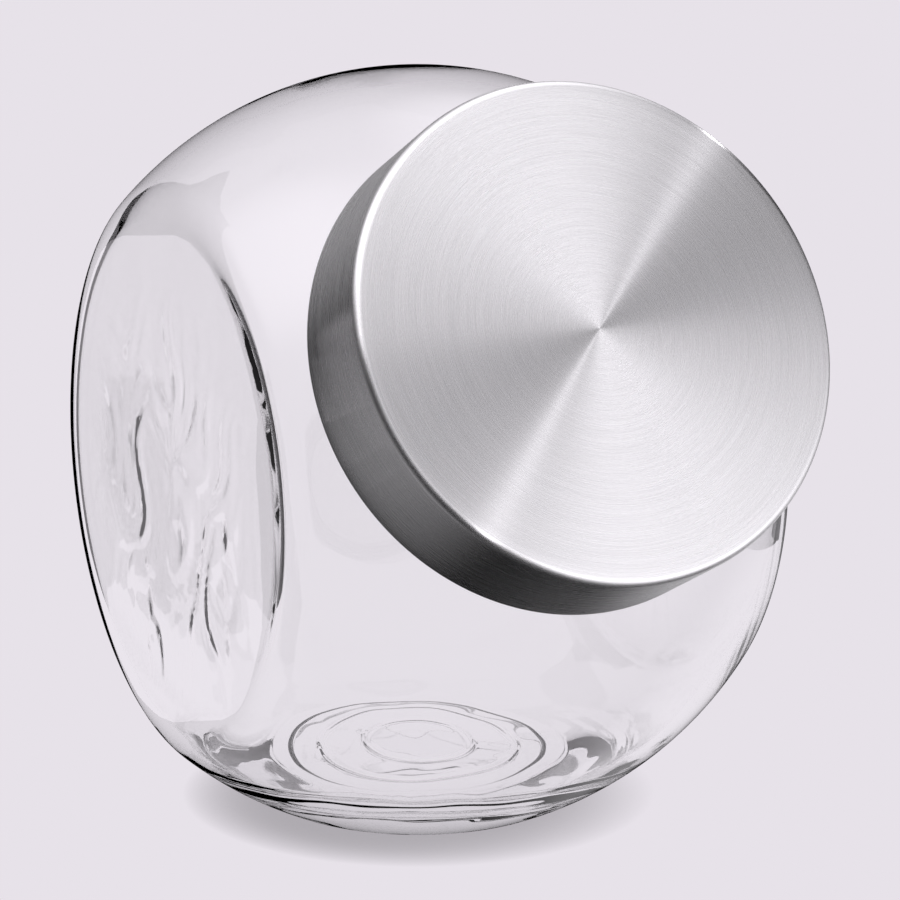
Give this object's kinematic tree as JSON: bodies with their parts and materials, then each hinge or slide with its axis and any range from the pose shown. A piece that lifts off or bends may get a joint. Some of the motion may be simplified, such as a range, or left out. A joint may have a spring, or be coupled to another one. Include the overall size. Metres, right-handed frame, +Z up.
{
  "type": "lidded glass canister",
  "caption": "Ball-shaped clear glass storage jar with flat sides and a slanted mouth, closed by a push-on brushed metal lid with a sealed plastic insert.",
  "frame": {"origin": "middle of the bounding box's lowest face, on the surface the jar stands on", "axes": "+Z up; -Y is the front, where the mouth and the lid face, slanted 27 degrees above level; the flat sides face -X and +X"},
  "size_m": [0.134, 0.2138, 0.1867],
  "materials": {
    "clear_glass": "clear, polished, slightly wavy",
    "brushed_metal": "turned brushing on the face, satin skirt",
    "white_plastic": "moulded, satin",
    "soft_silicone": "translucent, matte"
  },
  "bodies": {
    "jar": {"glass_jar": "clear_glass"},
    "lid": {"lid_shell": "brushed_metal", "lid_liner": "white_plastic", "lid_gasket": "soft_silicone"}
  },
  "joints": [
    {"name": "lid_lift", "type": "slide", "parent": "jar", "child": "lid", "axis": [0, -0.891, 0.454], "range_m": [0, 0.08]}
  ]
}
